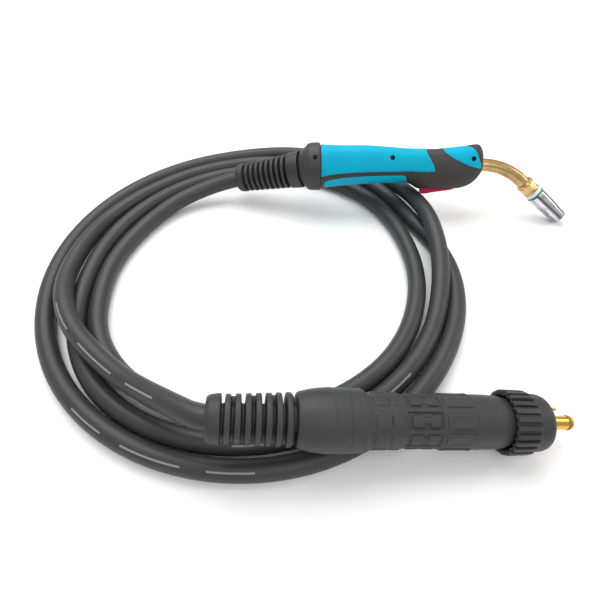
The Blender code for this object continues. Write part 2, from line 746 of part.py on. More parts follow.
def make_plug():
    axis = plug_frame()
    start = PLUG_BOOT_LENGTH
    turned(
        "plug_rear_shell",
        [(start, 19.2), (start + 2, 20.6), (start + 12, 22.3), (start + 24, 23.3), (FLARE_END, 22.6)],
        axis,
        PLASTIC,
        [(start, 7.0), (start + 4, 7.0), (start + 6, 17.5), (FLARE_END, 17.5)],
        steps=32,
    )
    grip = [(FLARE_END + GAP, 21.8), (FLARE_END + 2.5, 20.4), (GRIP_END - 14, GRIP_RADIUS)]
    grip += [(GRIP_END - 4, 19.8), (GRIP_END + 8, 19.4), (GRIP_END + 15.5, 18.2)]
    bore = [(FLARE_END + GAP, 16.5), (GRIP_END + 15.5, 16.5)]
    housing = turned("plug_housing", grip, axis, PLASTIC, bore, steps=32)
    core = turned(
        "plug_core",
        [
            (FLARE_END - 11, 9.5),
            (GRIP_END - 30, 9.5),
            (GRIP_END - 30, 16.1),
            (GRIP_END - 10, 16.1),
            (GRIP_END - 10, 15.0),
            (ADAPTOR_END - 3, 15.0),
        ],
        axis,
        BRASS,
        [(FLARE_END - 11, 5.3), (ADAPTOR_END - 3, 5.3)],
        steps=24,
    )
    for i, angle in enumerate((255, 345)):
        frame = axis @ turn("Z", angle)
        name = f"plug_screw_{i + 1}"
        along = GRIP_END - 20
        hole = rod(f"{name}_hole", (0, 11, along), (0, 30, along), 2.2, frame, None, 12, CUTTERS)
        add_boolean(housing, hole)
        add_boolean(core, hole)
        rod(name, (0, 12.2, along), (0, 18.6, along), 1.9, frame, STEEL, 12)
    groove = NIPPLE_END - 5.0
    gas = [(FLARE_END - 9, 5.0), (ADAPTOR_END + 2, 5.0), (ADAPTOR_END + 2, 5.5), (groove, 5.5), (groove, 4.4)]
    gas += [(groove + 2.2, 4.4), (groove + 2.2, 5.5), (NIPPLE_END - 1.2, 5.5), (NIPPLE_END, 4.4)]
    turned("gas_nipple", gas, axis, GOLD, [(FLARE_END - 9, 2.0), (NIPPLE_END, 2.0)], steps=16)
    seal = [(groove + 0.3, 4.9), (groove + 0.3, 5.5), (groove + 1.1, 5.9), (groove + 1.9, 5.5), (groove + 1.9, 4.9)]
    turned("nipple_o_ring", seal[1:-1], axis, NYLON, [seal[0], seal[-1]], steps=16)


def make_pins():
    """Two sprung control pins beside the nipple, each in a sleeve in the plug's core."""
    core = bpy.data.objects["plug_core"]
    for i, angle in enumerate((132.0, 62.0)):
        frame = plug_frame() @ turn("Z", angle)
        name = f"control_pin_{i + 1}"
        rear = ADAPTOR_END - 22
        hole = rod(f"{name}_hole", (10.4, 0, rear), (10.4, 0, NIPPLE_END), 2.6, frame, None, 12, CUTTERS)
        add_boolean(core, hole)
        sleeve = frame @ Matrix.Translation((10.4, 0, 0))
        turned(
            f"pin_sleeve_{i + 1}",
            [(rear + GAP, 2.3), (ADAPTOR_END - 2.4, 2.3)],
            sleeve,
            NYLON,
            [(rear + GAP, 1.6), (ADAPTOR_END - 2.4, 1.6)],
            steps=12,
        )
        pin = [(rear + 8, 1.3), (ADAPTOR_END + 10.8, 1.3), (ADAPTOR_END + 11.5, 0.8)]
        turned(name, pin, sleeve, GOLD, steps=12)


def make_adaptor_nut():
    """The hand nut: ribs round its rear half, then a smooth blunt nose with a wide mouth."""
    axis = plug_frame()
    length = ADAPTOR_END - ADAPTOR_START
    outer = [
        (0, 22.0),
        (0.8, 22.8),
        (18.6, 22.8),
        (19.0, 21.8),
        (26.0, 21.6),
        (30.0, 20.6),
        (length - 1.2, 18.8),
        (length, 16.8),
    ]
    inner = [(0, 20.8), (3.0, 18.8), (12.0, 18.8), (12.0, 17.0), (28.0, 17.0), (30.0, 15.4), (length, 15.4)]
    frame = axis @ Matrix.Translation((0, 0, ADAPTOR_START))
    nut = turned("adaptor_nut", outer, frame, PLASTIC, inner, steps=32)
    comb = ribbed_ring("adaptor_ribs", frame, 23.0, ADAPTOR_RADIUS, 1.0, 18.4, 24)
    add_boolean(nut, comb, "UNION")


def ribbed_ring(name, frame, valley, peak, start, end, ribs):
    """A ring whose outer edge rises and falls: one block of ribs for a hand nut."""
    points = []
    sides = ribs * 4
    for along in (start, end):
        for i in range(sides):
            radius = peak if i % 4 in (1, 2) else valley
            angle = 2 * math.pi * (i + 0.5) / sides
            points.append((radius * math.cos(angle), radius * math.sin(angle), along))
    for along in (start, end):
        for i in range(sides):
            angle = 2 * math.pi * (i + 0.5) / sides
            points.append((21.5 * math.cos(angle), 21.5 * math.sin(angle), along))
    faces = []
    for i in range(sides):
        after = (i + 1) % sides
        faces.append((i, after, sides + after, sides + i))
        faces.append((2 * sides + i, 3 * sides + i, 3 * sides + after, 2 * sides + after))
        for end_ring in (0, 1):
            outer, inner = end_ring * sides, (2 + end_ring) * sides
            faces.append((outer + i, outer + after, inner + after, inner + i))
    return place(name, mesh_from(points, faces), frame, None, CUTTERS)


clear_scene()
TORCH = new_collection("mig_welding_torch")
CUTTERS = new_collection("cutters", helper=True)
CHARCOAL = new_material("charcoal_rubber", (0.06, 0.057, 0.055), 0.55)
CYAN = new_material("cyan_plastic", (0.0, 0.46, 0.72), 0.35)
CRIMSON = new_material("crimson_plastic", (0.55, 0.01, 0.05), 0.4)
RUBBER = new_material("cable_rubber", (0.075, 0.075, 0.075), 0.5)
PLASTIC = new_material("plug_plastic", (0.05, 0.05, 0.05), 0.5)
NYLON = new_material("nylon", (0.02, 0.02, 0.02), 0.5)
STEEL = new_material("steel", (0.45, 0.45, 0.45), 0.35, 1.0)
BRASS = new_material("brass", (0.72, 0.52, 0.24), 0.3, 1.0)
GOLD = new_material("gold_brass", (0.8, 0.55, 0.15), 0.25, 1.0)
COPPER = new_material("copper", (0.75, 0.36, 0.2), 0.3, 1.0)
CHROME = new_material("chrome", (0.75, 0.75, 0.77), 0.12, 1.0)
WHITE = new_material("white_insulator", (0.8, 0.8, 0.78), 0.4)
GREEN = new_material("green_seal", (0.02, 0.25, 0.18), 0.4)

TRIGGER_SLOT = make_trigger_slot()
PIN_HOLE = make_pin_hole()
BOSSES, SCREW_HOLES = make_boss_cutters()
handle_shell("handle_shell_right", -1)
handle_shell("handle_shell_left", 1)
make_panels()
make_screws()
make_collar()
make_trigger()
make_neck()
make_nozzle()
make_cable()
make_torch_boot()
make_plug_boot()
make_plug()
make_pins()
make_adaptor_nut()
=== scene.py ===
"""Looks for a MIG welding torch: swan-neck gun, coaxial cable in a loose coil, and central plug."""

import math

import bmesh
import bpy
from mathutils import Matrix, Vector


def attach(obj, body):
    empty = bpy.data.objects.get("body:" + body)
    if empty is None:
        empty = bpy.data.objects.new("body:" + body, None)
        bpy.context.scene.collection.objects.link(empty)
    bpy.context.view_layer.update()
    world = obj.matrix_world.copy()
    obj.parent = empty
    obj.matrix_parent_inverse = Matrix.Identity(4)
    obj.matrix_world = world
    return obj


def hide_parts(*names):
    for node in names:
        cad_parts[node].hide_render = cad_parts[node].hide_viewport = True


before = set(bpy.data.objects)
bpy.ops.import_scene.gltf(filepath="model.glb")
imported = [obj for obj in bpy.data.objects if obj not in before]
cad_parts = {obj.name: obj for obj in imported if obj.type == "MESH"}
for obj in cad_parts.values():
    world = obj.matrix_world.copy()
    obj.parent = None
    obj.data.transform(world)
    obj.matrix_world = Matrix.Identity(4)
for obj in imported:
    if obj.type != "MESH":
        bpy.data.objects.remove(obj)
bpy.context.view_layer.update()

MM = 0.001

# Where things stand, in millimetres and degrees
BALL = Vector((-132.2, 7.5, 53.25))
HANDLE_YAW, HANDLE_TILT, HANDLE_LEAN = -0.8, 1.2, 30.0
BOOT_YAW, BOOT_PITCH = 8.7, 15.0
PLUG_REAR = Vector((-219.3, -310.3, 56.3))
PLUG_YAW, PLUG_TILT = 3.0, 7.5
COIL_CENTRE = Vector((-199.3, -118.3, 0.0))

CABLE_RADIUS = 9.0
BOOT_BORE = 9.3
BOOT_END = 101.0
HANDLE_START, HANDLE_END = 1.7, 185.8
SECTION_POWER = 2.5
SHELL_INSET = 0.35

NECK_RADIUS = 7.1
NECK_BEND_RADIUS = 75.0
NECK_ANGLE = 40.0
NUT_START, NUT_END = 57.0, 72.0
RING_END = 76.5
SEAL_END = 78.5
NOZZLE_END = 120.0

PLUG_BOOT_LENGTH = 62.5
FLARE_END = 111.5
GRIP_END = 203.0
ADAPTOR_START, ADAPTOR_END = 219.5, 253.2
NIPPLE_END = 278.0
NUT_RIBS = 24
PIN_CIRCLE = 10.4
PIN_ANGLES = (132.0, 62.0)

# Plain dashes on the cable: metres from one set to the next, where in a set each dash starts and
# ends, and the row they lie on, in turns round the cable
DASH_SPACING = 1.17
DASHES = ((0.42, 0.455), (0.475, 0.525), (0.545, 0.58))
DASH_ROW, DASH_HALF_WIDTH = 0.09, 0.014
DASH_STRENGTH = 0.7

CAMERA_PLACE = (-0.1543, -0.4533, 0.3465)
CAMERA_PITCH = 41.0
CAMERA_LENS, CAMERA_SENSOR = 27.0, 36.0
FLOOR_DROP = 0.0002


# Frames, in millimetres --------------------------------------------------


def turn(axis, degrees):
    return Matrix.Rotation(math.radians(degrees), 4, axis)


HANDLE = (
    Matrix.Translation(BALL)
    @ turn("Z", HANDLE_YAW)
    @ turn("Y", -HANDLE_TILT)
    @ turn("X", -HANDLE_LEAN)
)
HANDLE_AXIS = HANDLE @ turn("Y", 90)
BOOT = Matrix.Translation(BALL) @ turn("Z", -BOOT_YAW) @ turn("Y", -90 - BOOT_PITCH)
PLUG = Matrix.Translation(PLUG_REAR) @ turn("Z", PLUG_YAW) @ turn("Y", 90 + PLUG_TILT)


def neck_frame(distance):
    """A frame on the neck's centre line, with local Z along the neck."""
    arc = math.radians(NECK_ANGLE) * NECK_BEND_RADIUS
    bent = min(max(distance, 0.0), arc)
    angle = bent / NECK_BEND_RADIUS
    point = Vector((HANDLE_END, 0, 0))
    point += Vector((math.sin(angle), 0, math.cos(angle) - 1)) * NECK_BEND_RADIUS
    point += Vector((math.cos(angle), 0, -math.sin(angle))) * (distance - bent)
    return HANDLE @ Matrix.Translation(point) @ turn("Y", 90 + math.degrees(angle))


def smooth(stations, x):
    """Catmull-Rom interpolation of rows (x, value, ...) at x. Returns the values."""
    last = len(stations) - 1
    i = max(k for k in range(last) if stations[k][0] <= x or k == 0)
    before = stations[max(i - 1, 0)]
    start = stations[i]
    end = stations[i + 1]
    after = stations[min(i + 2, last)]
    t = min(max((x - start[0]) / (end[0] - start[0]), 0.0), 1.0)
    values = []
    for k in range(1, len(start)):
        width = end[0] - start[0]
        slope_in = (end[k] - before[k]) / (end[0] - before[0]) * width
        slope_out = (after[k] - start[k]) / (after[0] - start[0]) * width
        a = 2 * t**3 - 3 * t**2 + 1
        b = t**3 - 2 * t**2 + t
        c = t**3 - t**2
        values.append(a * start[k] + b * slope_in + (1 - a) * end[k] + c * slope_out)
    return values


def smooth_profile(profile, count):
    """A smooth curve through (along, radius) points, in count steps."""
    return [(x, smooth(profile, x)[0]) for x in spread(profile[0][0], profile[-1][0], count)]


def ease(low, high, x):
    """0 below low, 1 above high, and smooth between them."""
    t = min(max((x - low) / (high - low), 0.0), 1.0)
    return t * t * (3 - 2 * t)


def spread(low, high, count):
    """Evenly spaced values from low to high, in count steps."""
    return [low + (high - low) * i / count for i in range(count + 1)]


# Camera, floor and light -------------------------------------------------


def make_stage():
    """The camera, a plain floor, three soft lights and the room."""
    camera_data = bpy.data.cameras.new("camera")
    camera_data.sensor_width = CAMERA_SENSOR
    camera_data.lens = CAMERA_LENS
    camera_data.clip_start = 0.01
    camera = bpy.data.objects.new("camera", camera_data)
    bpy.context.scene.collection.objects.link(camera)
    camera.location = CAMERA_PLACE
    camera.rotation_euler = (math.radians(CAMERA_PITCH), 0, 0)
    bpy.context.scene.camera = camera

    bpy.ops.mesh.primitive_plane_add(size=8.0, location=(0, 0, -FLOOR_DROP))
    floor = bpy.context.object
    floor.name = "floor"
    floor.data.materials.append(plain_material("floor_white", (0.93, 0.93, 0.93), 0.7))

    soft_light("key", (-0.45, 0.7, 1.6), 1.6, 30)
    soft_light("fill", (0.1, -1.3, 1.7), 1.5, 11)
    soft_light("side", (1.5, 0.1, 0.9), 0.7, 5)
    make_world()
    view = bpy.context.scene.view_settings
    view.view_transform = "Standard"
    view.look = "None"


def soft_light(name, location, size, power):
    light = bpy.data.lights.new(name, "AREA")
    light.shape = "SQUARE"
    light.size = size
    light.energy = power
    lamp = bpy.data.objects.new(name, light)
    bpy.context.scene.collection.objects.link(lamp)
    lamp.location = location
    aim = Vector((-0.15, -0.1, 0.0)) - Vector(location)
    lamp.rotation_euler = aim.to_track_quat("-Z", "Y").to_euler()


def make_world():
    """A white room that darkens a little towards the floor, so that metal has something to show."""
    world = bpy.data.worlds.new("studio")
    bpy.context.scene.world = world
    world.use_nodes = True
    tree = world.node_tree
    coords = tree.nodes.new("ShaderNodeTexCoord")
    split = tree.nodes.new("ShaderNodeSeparateXYZ")
    ramp = tree.nodes.new("ShaderNodeValToRGB")
    background = tree.nodes["Background"]
    tree.links.new(coords.outputs["Generated"], split.inputs[0])
    tree.links.new(split.outputs["Z"], ramp.inputs[0])
    tree.links.new(ramp.outputs[0], background.inputs["Color"])
    ramp.color_ramp.elements[0].color = (0.75, 0.75, 0.75, 1)
    ramp.color_ramp.elements[0].position = 0.0
    ramp.color_ramp.elements[1].color = (1.0, 1.0, 1.0, 1)
    ramp.color_ramp.elements[1].position = 0.55
    background.inputs["Strength"].default_value = 0.66


# Materials ---------------------------------------------------------------


def plain_material(name, colour, roughness, metallic=0.0):
    material = bpy.data.materials.new(name)
    material.use_nodes = True
    shader = material.node_tree.nodes["Principled BSDF"]
    shader.inputs["Base Color"].default_value = (*colour, 1.0)
    shader.inputs["Roughness"].default_value = roughness
    shader.inputs["Metallic"].default_value = metallic
    return material


def add_noise(tree, scale, detail, vector=None):
    noise = tree.nodes.new("ShaderNodeTexNoise")
    noise.inputs["Scale"].default_value = scale
    noise.inputs["Detail"].default_value = detail
    if vector:
        tree.links.new(vector, noise.inputs["Vector"])
    return noise.outputs["Fac"]


def remap(tree, value, low, high, source=(0.0, 1.0)):
    node = tree.nodes.new("ShaderNodeMapRange")
    node.inputs["From Min"].default_value = source[0]
    node.inputs["From Max"].default_value = source[1]
    node.inputs["To Min"].default_value = low
    node.inputs["To Max"].default_value = high
    tree.links.new(value, node.inputs["Value"])
    return node.outputs["Result"]


def mix_colours(tree, share, first, second):
    node = tree.nodes.new("ShaderNodeMix")
    node.data_type = "RGBA"
    for socket, colour in ((node.inputs[6], first), (node.inputs[7], second)):
        if isinstance(colour, tuple):
            socket.default_value = (*colour, 1.0)
        else:
            tree.links.new(colour, socket)
    tree.links.new(share, node.inputs[0])
    return node.outputs[2]


def maths(tree, operation, *values):
    """One arithmetic node on numbers or sockets."""
    node = tree.nodes.new("ShaderNodeMath")
    node.operation = operation
    for i, value in enumerate(values):
        if isinstance(value, float):
            node.inputs[i].default_value = value
        else:
            tree.links.new(value, node.inputs[i])
    return node.outputs[0]


def add_bump(tree, height, strength, distance, normal=None):
    bump = tree.nodes.new("ShaderNodeBump")
    bump.inputs["Strength"].default_value = strength
    bump.inputs["Distance"].default_value = distance
    tree.links.new(height, bump.inputs["Height"])
    if normal:
        tree.links.new(normal, bump.inputs["Normal"])
    return bump.outputs["Normal"]


def stretched_uv(tree, along, around):
    """The piece's own coordinates (metres along it, turns round it), scaled for streaks."""
    coords = tree.nodes.new("ShaderNodeTexCoord")
    mapping = tree.nodes.new("ShaderNodeMapping")
    mapping.inputs["Scale"].default_value = (along, around, 1.0)
    tree.links.new(coords.outputs["UV"], mapping.inputs["Vector"])
    return mapping.outputs["Vector"]


def object_coords(tree):
    return tree.nodes.new("ShaderNodeTexCoord").outputs["Object"]


def moulded(name, colour, light, roughness, grain, bump, gloss, edge_wear_and_highlight):
    """Moulded plastic or rubber: pebbled grain, faint tone changes, painted shade in creases, and
    paler convex edges broken up by scuffs, partly rubbed wear and partly a painted highlight.
    """
    material = plain_material(name, colour, roughness)
    tree = material.node_tree
    shader = tree.nodes["Principled BSDF"]
    coords = object_coords(tree)
    cloud = add_noise(tree, 38.0, 4.0, coords)
    toned = mix_colours(tree, remap(tree, cloud, 0.0, 0.6, (0.35, 0.75)), colour, light)
    bend = tree.nodes.new("ShaderNodeNewGeometry").outputs["Pointiness"]
    # Painted shade: concave creases, found by low pointiness, are darkened towards a third of the
    # colour.
    dark = tuple(c * 0.3 for c in colour)
    crease_shaded = mix_colours(tree, remap(tree, bend, 0.0, 0.75, (0.49, 0.44)), toned, dark)
    # Partly painted highlight: convex edges, found by high pointiness, are paled, and scuff noise
    # breaks this up so that it also looks like rubbed wear.
    scuffs = add_noise(tree, 300.0, 5.0, coords)
    edge = remap(tree, bend, 0.0, edge_wear_and_highlight, (0.52, 0.6))
    rubbed_and_highlit = maths(tree, "MULTIPLY", edge, remap(tree, scuffs, 0.3, 1.0, (0.35, 0.6)))
    highlight_colour = tuple(min(c * 1.8 + 0.04, 1.0) for c in light)
    worn_and_highlit = mix_colours(tree, rubbed_and_highlit, crease_shaded, highlight_colour)
    tree.links.new(worn_and_highlit, shader.inputs["Base Color"])
    smudge = add_noise(tree, 22.0, 3.0, coords)
    handled = remap(tree, smudge, roughness - 0.07, roughness + 0.09)
    tree.links.new(handled, shader.inputs["Roughness"])
    pebble = add_noise(tree, grain, 2.0, coords)
    wave = add_noise(tree, 90.0, 2.0, coords)
    fine = add_bump(tree, pebble, bump, 0.0001)
    tree.links.new(add_bump(tree, wave, 0.05, 0.001, fine), shader.inputs["Normal"])
    shader.inputs["Specular IOR Level"].default_value = gloss
    return material


def turned_metal(name, colour, dark, roughness, along, around, bump, streak=(0.4, 0.45, 0.8)):
    """Machined metal: fine streaks, slight tarnish and handling marks; the strong dark streaks used
    on chrome are painted reflections. streak is the most that a streak darkens, and the noise
    values where it starts and is full."""
    material = plain_material(name, colour, roughness, 1.0)
    tree = material.node_tree
    shader = tree.nodes["Principled BSDF"]
    coords = object_coords(tree)
    streaks = add_noise(tree, 1.0, 6.0, stretched_uv(tree, along, around))
    tarnish = add_noise(tree, 70.0, 5.0, coords)
    base = mix_colours(tree, remap(tree, tarnish, 0.0, 0.8, (0.42, 0.75)), colour, dark)
    share, low, high = streak
    # On chrome these strong dark streaks round the piece are painted reflections; on the other
    # metals they are fine machining streaks.
    streaked_and_reflected = mix_colours(tree, remap(tree, streaks, 0.0, share, (low, high)), base, dark)
    tree.links.new(streaked_and_reflected, shader.inputs["Base Color"])
    smear = add_noise(tree, 45.0, 4.0, coords)
    tree.links.new(remap(tree, smear, roughness * 0.7, roughness * 1.4), shader.inputs["Roughness"])
    tree.links.new(add_bump(tree, streaks, bump, 0.0002), shader.inputs["Normal"])
    return material


def cable_jacket():
    """Extruded grey rubber with faint drawing lines, dust, and a row of plain pale dashes."""
    colour, light = (0.026, 0.026, 0.0265), (0.036, 0.036, 0.037)
    material = moulded(
        "cable_jacket", colour, light, 0.46, grain=1800.0, bump=0.12, gloss=0.45, edge_wear_and_highlight=0.0
    )
    tree = material.node_tree
    shader = tree.nodes["Principled BSDF"]
    base = shader.inputs["Base Color"].links[0].from_socket
    lines = add_noise(tree, 1.0, 3.0, stretched_uv(tree, 6.0, 90.0))
    drawn = mix_colours(tree, remap(tree, lines, 0.0, 0.5, (0.5, 0.8)), base, (0.05, 0.05, 0.051))
    dust = add_noise(tree, 520.0, 6.0, object_coords(tree))
    dusty = mix_colours(tree, remap(tree, dust, 0.0, 0.25, (0.6, 0.8)), drawn, (0.12, 0.12, 0.12))
    printed = mix_colours(tree, dash_mask(tree), dusty, (0.3, 0.3, 0.3))
    tree.links.new(printed, shader.inputs["Base Color"])
    normal = shader.inputs["Normal"].links[0].from_socket
    tree.links.new(add_bump(tree, lines, 0.08, 0.0004, normal), shader.inputs["Normal"])
    return material


def dash_mask(tree):
    """Where the dashes are: one set about every turn of the coil, on the side that faces up."""
    coords = tree.nodes.new("ShaderNodeTexCoord")
    split = tree.nodes.new("ShaderNodeSeparateXYZ")
    tree.links.new(coords.outputs["UV"], split.inputs[0])

    def near(value, middle, half):
        distance = maths(tree, "ABSOLUTE", maths(tree, "SUBTRACT", value, middle))
        return maths(tree, "LESS_THAN", distance, half)

    place = maths(tree, "MODULO", split.outputs["X"], DASH_SPACING)
    total = None
    for start, end in DASHES:
        inside = near(place, (start + end) / 2, (end - start) / 2)
        total = inside if total is None else maths(tree, "ADD", total, inside)
    row = near(split.outputs["Y"], DASH_ROW, DASH_HALF_WIDTH)
    return maths(tree, "MULTIPLY", maths(tree, "MULTIPLY", total, row), DASH_STRENGTH)


# Mesh building -----------------------------------------------------------


def finish_piece(name, mesh, material, body, nodes, sharp=32):
    """Link a fine piece, let it ride its body, and hide the CAD nodes it stands for."""
    mesh.materials.append(material)
    mesh.shade_smooth()
    mesh.set_sharp_from_angle(angle=math.radians(sharp))
    piece = bpy.data.objects.new(name, mesh)
    bpy.context.scene.collection.objects.link(piece)
    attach(piece, body)
    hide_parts(*nodes)
    return piece


def loft(name, rings, frame_matrix, closed_loop=False):
    """A closed skin through rings of points in millimetres. UVs are metres along, turns round."""
    count = len(rings[0])
    points = [frame_matrix @ point * MM for ring in rings for point in ring]
    faces, uvs = [], []
    travelled = [0.0]
    for a, b in zip(rings, rings[1:]):
        step = sum((q - p).length for p, q in zip(a, b)) / count
        travelled.append(travelled[-1] + step * MM)
    pairs = [(k, k + 1) for k in range(len(rings) - 1)]
    if closed_loop:
        pairs.append((len(rings) - 1, 0))
    for k, following in pairs:
        for i in range(count):
            j = (i + 1) % count
            here, there = k * count, following * count
            faces.append((here + i, here + j, there + j, there + i))
            near = travelled[k]
            far = travelled[following] if following else near + MM
            left, right = i / count, (i + 1) / count
            uvs += [(near, left), (near, right), (far, right), (far, left)]
    if not closed_loop:
        for k in (0, len(rings) - 1):
            faces.append(tuple(k * count + i for i in range(count)))
            uvs += [(travelled[k], i / count) for i in range(count)]
    mesh = bpy.data.meshes.new(name)
    mesh.from_pydata(points, [], faces)
    layer = mesh.uv_layers.new(name="UVMap")
    for corner, uv in zip(layer.data, uvs):
        corner.uv = uv
    shape = bmesh.new()
    shape.from_mesh(mesh)
    bmesh.ops.remove_doubles(shape, verts=shape.verts, dist=1e-7)
    bmesh.ops.recalc_face_normals(shape, faces=shape.faces)
    shape.to_mesh(mesh)
    shape.free()
    return mesh


def rounded(profile, radius, steps=3):
    """A profile whose corners are cut back by up to radius and replaced by short curves."""
    points = [Vector(p) for p in profile]
    result = [points[0]]
    for before, corner, after in zip(points, points[1:], points[2:]):
        back, forth = before - corner, after - corner
        if back.length < 1e-6 or forth.length < 1e-6:
            result.append(corner)
            continue
        start = corner + back.normalized() * min(radius, back.length * 0.45)
        end = corner + forth.normalized() * min(radius, forth.length * 0.45)
        for i in range(steps + 1):
            t = i / steps
            result.append(start * (1 - t) ** 2 + corner * 2 * t * (1 - t) + end * t**2)
    result.append(points[-1])
    return result


def turned(name, profile, matrix, material, body, nodes, steps, hollow=True, shape=None):
    """A turned piece about local Z. shape(angle, along, radius) may change the radius."""
    rings = []
    for along, radius in profile:
        ring = []
        for i in range(steps):
            angle = 2 * math.pi * i / steps
            reach = shape(angle, along, radius) if shape else radius
            ring.append(Vector((reach * math.cos(angle), reach * math.sin(angle), along)))
        rings.append(ring)
    mesh = loft(name, rings, matrix, closed_loop=hollow)
    return finish_piece(name, mesh, material, body, nodes)


def cut(piece, cutter):
    """Cut one object out of another for good."""
    boolean = piece.modifiers.new("cut", "BOOLEAN")
    boolean.operation = "DIFFERENCE"
    boolean.solver = "EXACT"
    boolean.object = cutter
    bpy.context.view_layer.objects.active = piece
    bpy.ops.object.modifier_apply(modifier=boolean.name)


def rod_cutter(matrix, start, end, radius):
    """A cylinder to cut with, between two points of a frame, in millimetres."""
    start, end = Vector(start), Vector(end)
    direction = end - start
    depth = direction.length * MM
    bpy.ops.mesh.primitive_cylinder_add(vertices=32, radius=radius * MM, depth=depth)
    cutter = bpy.context.object
    tilt = direction.to_track_quat("Z", "Y").to_matrix().to_4x4()
    placed = matrix @ (Matrix.Translation((start + end) / 2) @ tilt)
    cutter.matrix_world = Matrix.Translation(placed.translation * MM) @ placed.to_3x3().to_4x4()
    bpy.context.view_layer.update()
    return cutter


def box_cutter(matrix, low, high):
    """A box to cut with, between two corners in a frame, in millimetres."""
    bpy.ops.mesh.primitive_cube_add(size=1.0)
    cutter = bpy.context.object
    low, high = Vector(low), Vector(high)
    for vertex in cutter.data.vertices:
        part = Vector(a * b for a, b in zip(vertex.co, high - low))
        vertex.co = matrix @ (part + (low + high) / 2) * MM
    return cutter


def remove(*objects):
    for obj in objects:
        bpy.data.objects.remove(obj, do_unlink=True)


# Cable -------------------------------------------------------------------

# Angle round the coil's centre counted on from the gun, radius, and height of the cable's axis
CABLE_ROUTE = [
    (102.5, 144.0, 26.3),
    (112.0, 147.5, 21.5),
    (122.0, 151.0, 16.5),
    (134.0, 153.0, 12.5),
    (146.0, 152.0, 10.0),
    (160.0, 152.0, 9.1),
    (178.0, 155.2, 9.1),
    (194.0, 158.8, 9.1),
    (208.0, 164.8, 9.1),
    (224.0, 168.0, 9.1),
    (250.0, 169.0, 9.1),
    (285.0, 169.0, 9.1),
    (320.0, 168.0, 9.1),
    (345.0, 166.0, 9.1),
    (372.0, 168.0, 9.1),
    (386.0, 172.5, 9.1),
    (411.0, 180.5, 9.1),
    (438.0, 183.5, 9.1),
    (464.0, 182.0, 9.1),
    (480.0, 179.5, 9.1),
    (510.0, 175.0, 9.1),
    (538.0, 174.4, 9.1),
    (552.0, 177.6, 9.1),
    (568.0, 184.0, 9.1),
    (590.0, 191.0, 9.1),
    (618.0, 191.5, 9.1),
    (645.0, 189.0, 9.1),
    (672.0, 187.0, 9.1),
    (700.0, 187.0, 11.5),
    (712.0, 188.0, 18.0),
    (722.0, 190.5, 24.0),
    (732.0, 194.5, 28.6),
    (740.0, 200.5, 28.4),
    (748.0, 207.0, 24.8),
    (756.0, 214.6, 19.5),
    (766.0, 223.5, 12.5),
    (780.0, 230.0, 9.5),
    (800.0, 229.5, 9.1),
    (820.0, 221.5, 9.1),
    (840.0, 218.5, 9.1),
    (866.0, 216.0, 9.1),
    (895.0, 212.5, 9.1),
    (920.0, 210.0, 9.1),
    (945.0, 210.0, 9.1),
    (975.0, 211.0, 9.1),
    (1006.0, 211.0, 9.1),
    (1040.0, 206.0, 9.1),
    (1075.0, 204.5, 9.1),
    (1090.0, 200.5, 9.1),
    (1104.0, 194.2, 9.1),
    (1114.0, 197.2, 9.1),
    (1128.0, 204.0, 9.1),
    (1150.0, 205.5, 9.1),
    (1180.0, 202.0, 9.1),
    (1212.0, 198.0, 9.1),
    (1236.0, 196.0, 12.0),
    (1254.0, 191.0, 18.5),
    (1268.0, 189.5, 23.0),
    (1278.0, 186.5, 27.6),
    (1290.0, 182.0, 27.8),
    (1302.0, 176.0, 27.8),
    (1316.0, 174.5, 31.0),
    (1326.0, 177.5, 39.5),
    (1336.0, 185.0, 50.5),
    (1343.3, 191.5, 56.0),
]


# The part of the route that is drawn, the step along it in degrees, the step inside the boots in
# millimetres, and how often the whole line is averaged
ROUTE_START, ROUTE_END, ROUTE_STEP = 105.5, 1338.0, 1.4
BOOT_STEP = 2.5
ROUTE_ROUNDS = 14


def route_point(angle):
    radius, height = smooth(CABLE_ROUTE, angle)
    turned_by = math.radians(angle)
    flat = (radius * math.cos(turned_by), radius * math.sin(turned_by))
    return COIL_CENTRE + Vector((*flat, height))


def cable_line():
    """Points a few millimetres apart on the cable's axis, from one boot's bore to the other's."""
    points = [BOOT @ Vector((0, 0, BOOT_END - 15 + BOOT_STEP * i)) for i in range(8)]
    angle = ROUTE_START
    while angle < ROUTE_END:
        points.append(route_point(angle))
        angle += ROUTE_STEP
    points += [PLUG @ Vector((0, 0, -10 + BOOT_STEP * i)) for i in range(9)]
    for _ in range(ROUTE_ROUNDS):
        moved = [(a + 2 * b + c) / 4 for a, b, c in zip(points, points[1:], points[2:])]
        points = points[:1] + moved + points[-1:]
    for point in points:
        point.z = max(point.z, CABLE_RADIUS + 0.05)
    return points


def make_cable():
    line = cable_line()
    sides = 32
    rings = []
    for i, point in enumerate(line):
        along = (line[min(i + 1, len(line) - 1)] - line[max(i - 1, 0)]).normalized()
        out = along.cross(Vector((0, 0, 1))).normalized()
        up = out.cross(along).normalized()
        ring = []
        for k in range(sides):
            angle = 2 * math.pi * k / sides
            ring.append(point + (up * math.cos(angle) + out * math.sin(angle)) * CABLE_RADIUS)
        rings.append(ring)
    mesh = loft("cable_jacket", rings, Matrix.Identity(4))
    cable = finish_piece("cable_jacket", mesh, JACKET, "cable_set", ["cable"])
    return cable, line


# Boots -------------------------------------------------------------------

# Where the ribs start and end, how many they are, a rib's share of each pitch, and the radius of
# the first and the last
TORCH_RIBS = (38.5, 91.0, 8, 0.5, 19.4, 16.6)
PLUG_RIBS = (12.4, PLUG_BOOT_LENGTH - 0.4, 7, 0.56, 17.3, 19.2)


